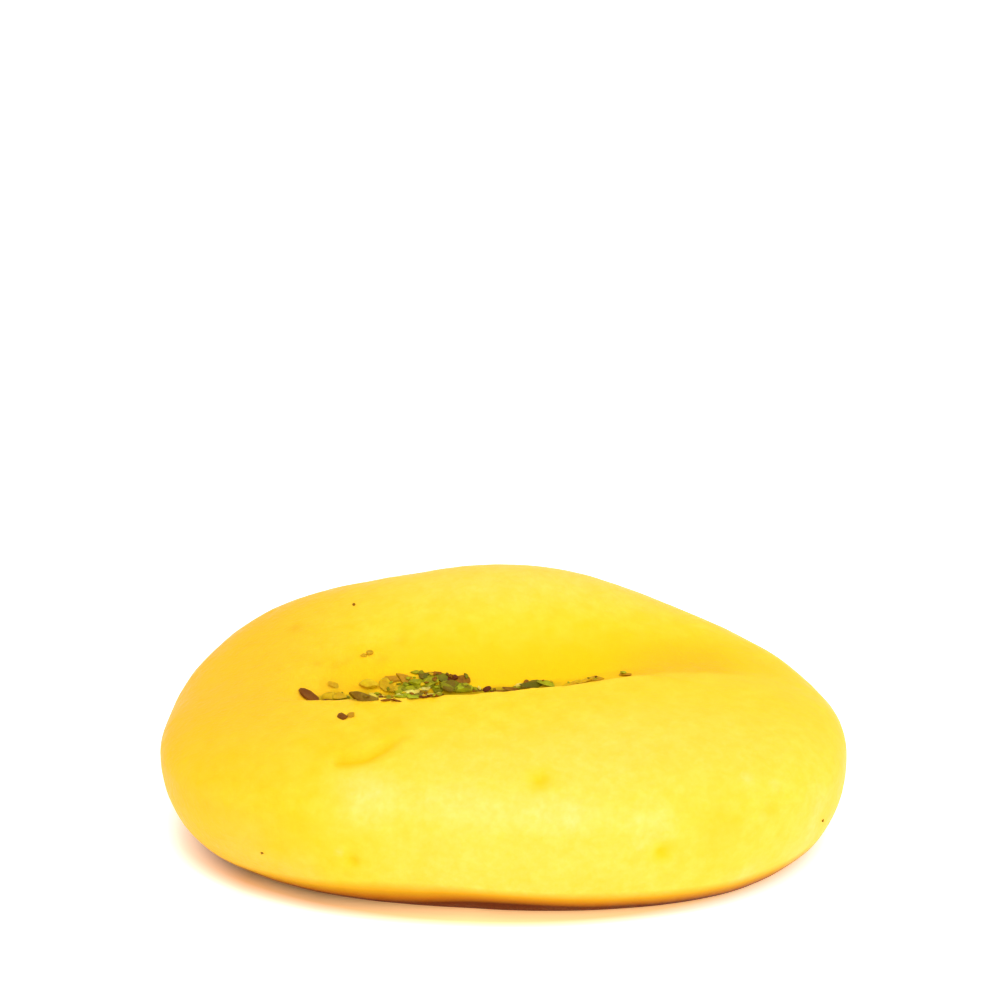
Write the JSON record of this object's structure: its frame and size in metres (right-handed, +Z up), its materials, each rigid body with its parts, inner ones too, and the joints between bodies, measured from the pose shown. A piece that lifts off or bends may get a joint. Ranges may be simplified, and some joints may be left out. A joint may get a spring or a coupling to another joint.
{
  "type": "sandesh",
  "caption": "Oval hand-pressed sweet of saffron-yellow fresh cheese, its top folded into a long crease filled with chopped pistachio.",
  "frame": {"origin": "centre of the sweet's bounding box on its flat underside", "axes": "+X along the sweet's long side, to the right as the picture shows it; +Y to the high back lobe; +Z up"},
  "size_m": [0.054, 0.035, 0.0174],
  "materials": {
    "sandesh": "moist fine-grained fresh cheese, soft satin, saffron yellow",
    "pistachio_green": "cut green pistachio kernel",
    "pistachio_pale": "cut pale yellow-green pistachio kernel",
    "pistachio_skin": "dark brown pistachio skin"
  },
  "bodies": {
    "root": {"sandesh": "sandesh"}
  },
  "joints": []
}
